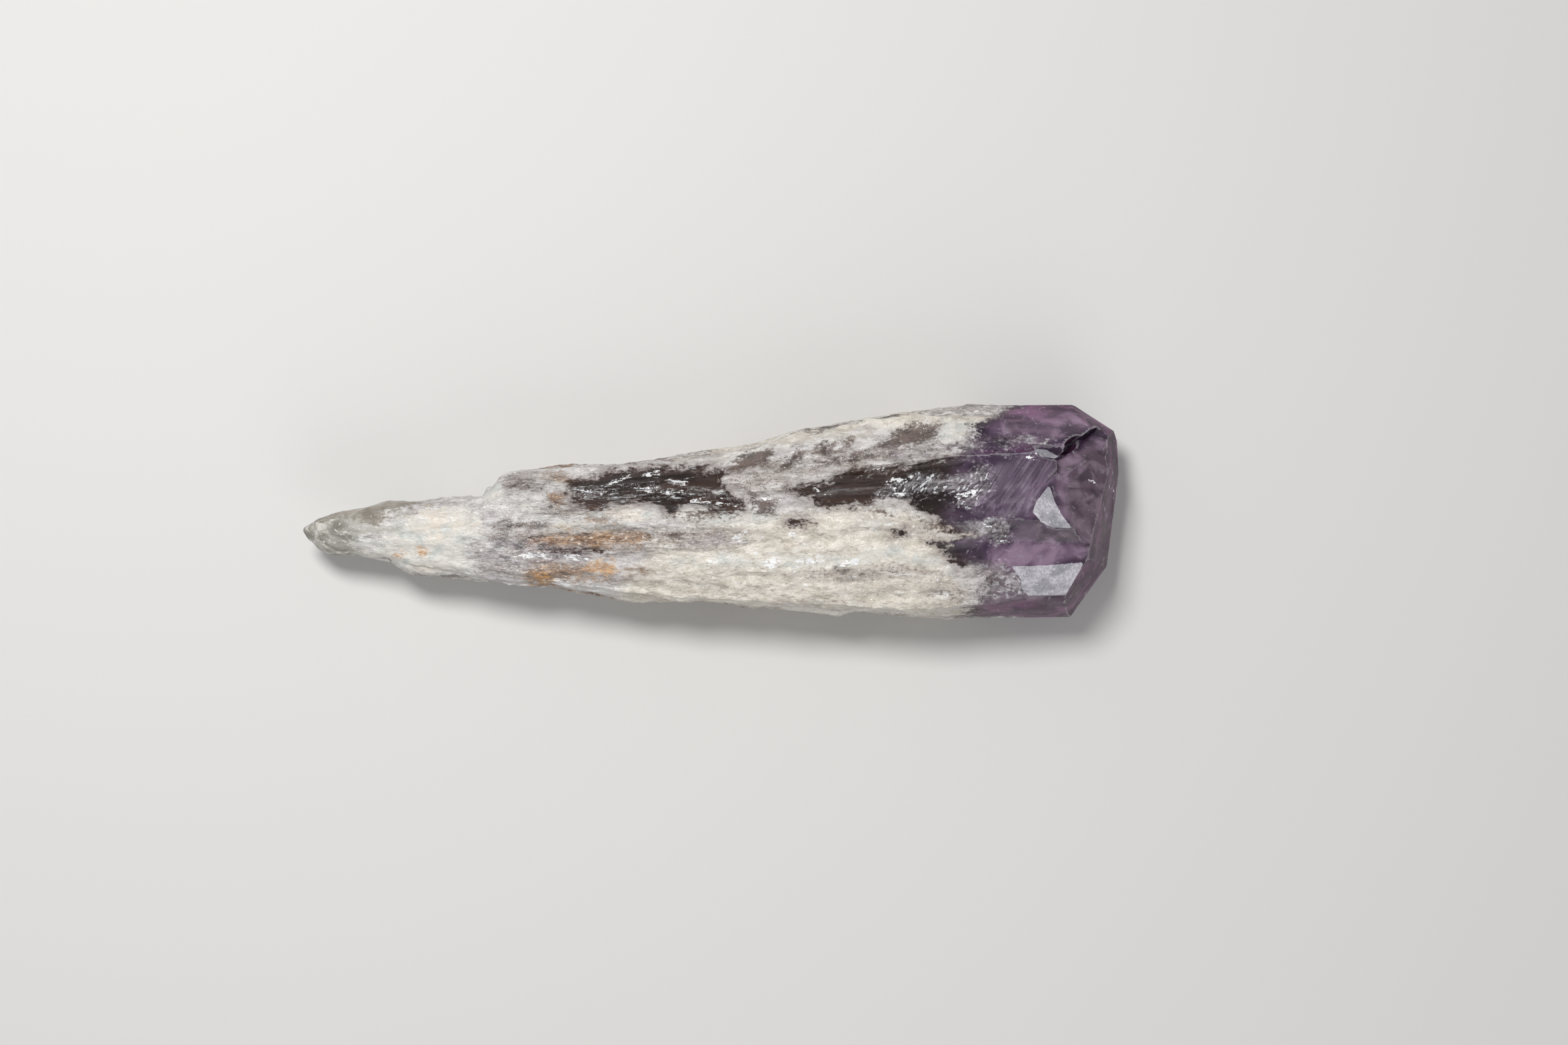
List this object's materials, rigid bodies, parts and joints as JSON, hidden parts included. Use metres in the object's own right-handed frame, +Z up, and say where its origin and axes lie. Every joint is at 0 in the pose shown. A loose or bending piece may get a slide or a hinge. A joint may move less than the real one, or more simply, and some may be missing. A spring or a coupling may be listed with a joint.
{
  "type": "amethyst wand",
  "caption": "Natural amethyst wand: a long tapering quartz crystal with a crusted pale body, dark clear windows, a thin tip and a broad faceted violet head.",
  "frame": {"origin": "at the base, under the middle of the crystal's length and width", "axes": "+X along the crystal from its tip to its head, +Y across it, +Z up from the natural face that it lies on"},
  "size_m": [0.0998, 0.0262, 0.0188],
  "materials": {
    "amethyst": "natural quartz: frosted crust with glassy windows and a glassy violet head"
  },
  "bodies": {
    "root": {"amethyst_crystal": "amethyst"}
  },
  "joints": []
}
